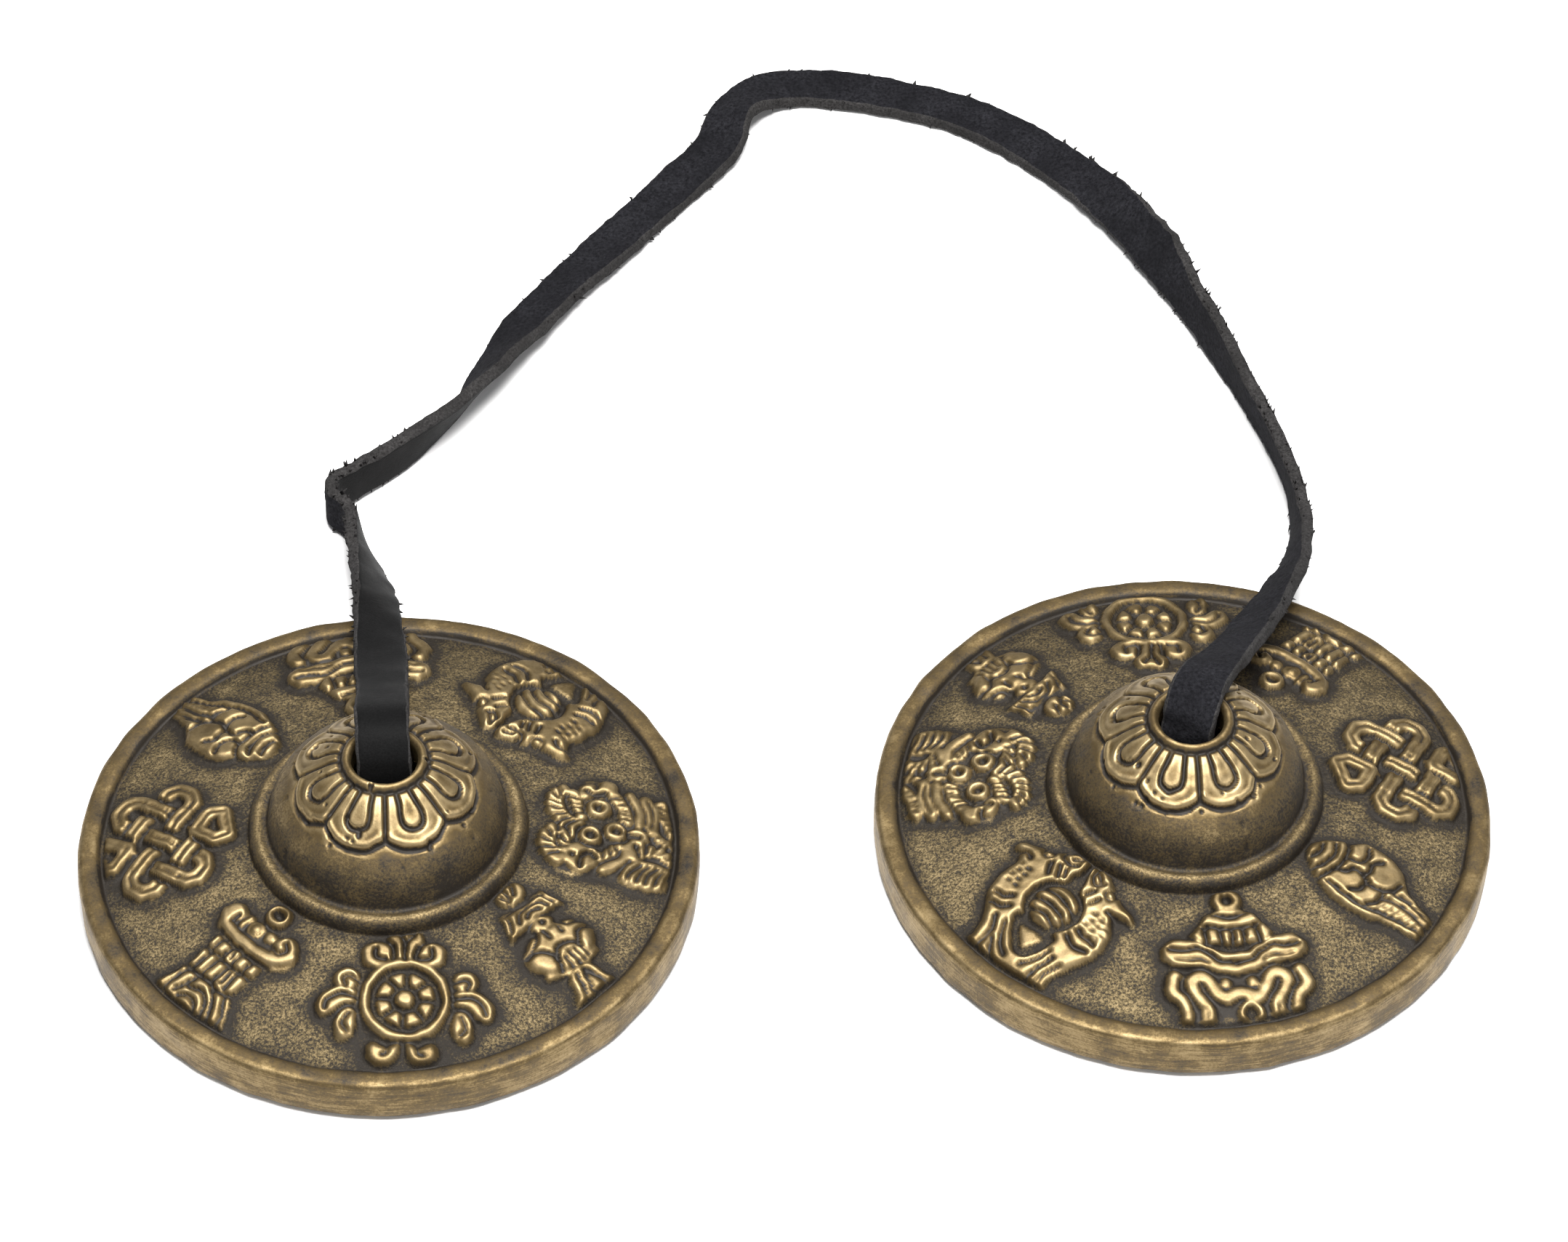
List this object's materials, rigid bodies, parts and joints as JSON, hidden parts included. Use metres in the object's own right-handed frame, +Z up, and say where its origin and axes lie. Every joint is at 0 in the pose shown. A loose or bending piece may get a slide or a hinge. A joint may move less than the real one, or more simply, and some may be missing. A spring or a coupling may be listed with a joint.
{
  "type": "finger cymbals",
  "caption": "Cast brass finger cymbals with domed hubs and relief emblems round them, joined by a flat leather strap knotted under each dome.",
  "frame": {"origin": "midway between the two cymbals, on the surface that they stand on", "axes": "+X from the left cymbal to the right one, +Y towards the strap lying behind them, +Z up along both cymbals' axes"},
  "size_m": [0.1602, 0.1662, 0.0233],
  "materials": {
    "cast_brass": "antiqued: grainy as cast with a dark brown patina in the recesses, raised relief and rim rubbed bright",
    "strap_leather": "black split leather lace, smooth on one face, napped on the other, with rough paler cut edges"
  },
  "bodies": {
    "strap_left_half": {"strap_left": "strap_leather", "left_knot": "strap_leather"},
    "left_cymbal": {"left_cymbal": "cast_brass"},
    "strap_right_half": {"strap_right": "strap_leather", "right_knot": "strap_leather"},
    "right_cymbal": {"right_cymbal": "cast_brass"}
  },
  "joints": [
    {"name": "left_cymbal_spin", "type": "hinge", "parent": "strap_left_half", "child": "left_cymbal", "pos_m": [-0.0451, 0, 0], "axis": [0, 0, 1], "continuous": true},
    {"name": "strap_flex", "type": "hinge", "parent": "strap_left_half", "child": "strap_right_half", "pos_m": [0.0099, 0.1278, 0], "axis": [0, 0, 1], "range_deg": [-8, 60]},
    {"name": "right_cymbal_spin", "type": "hinge", "parent": "strap_right_half", "child": "right_cymbal", "pos_m": [0.0451, 0, 0], "axis": [0, 0, 1], "continuous": true}
  ]
}
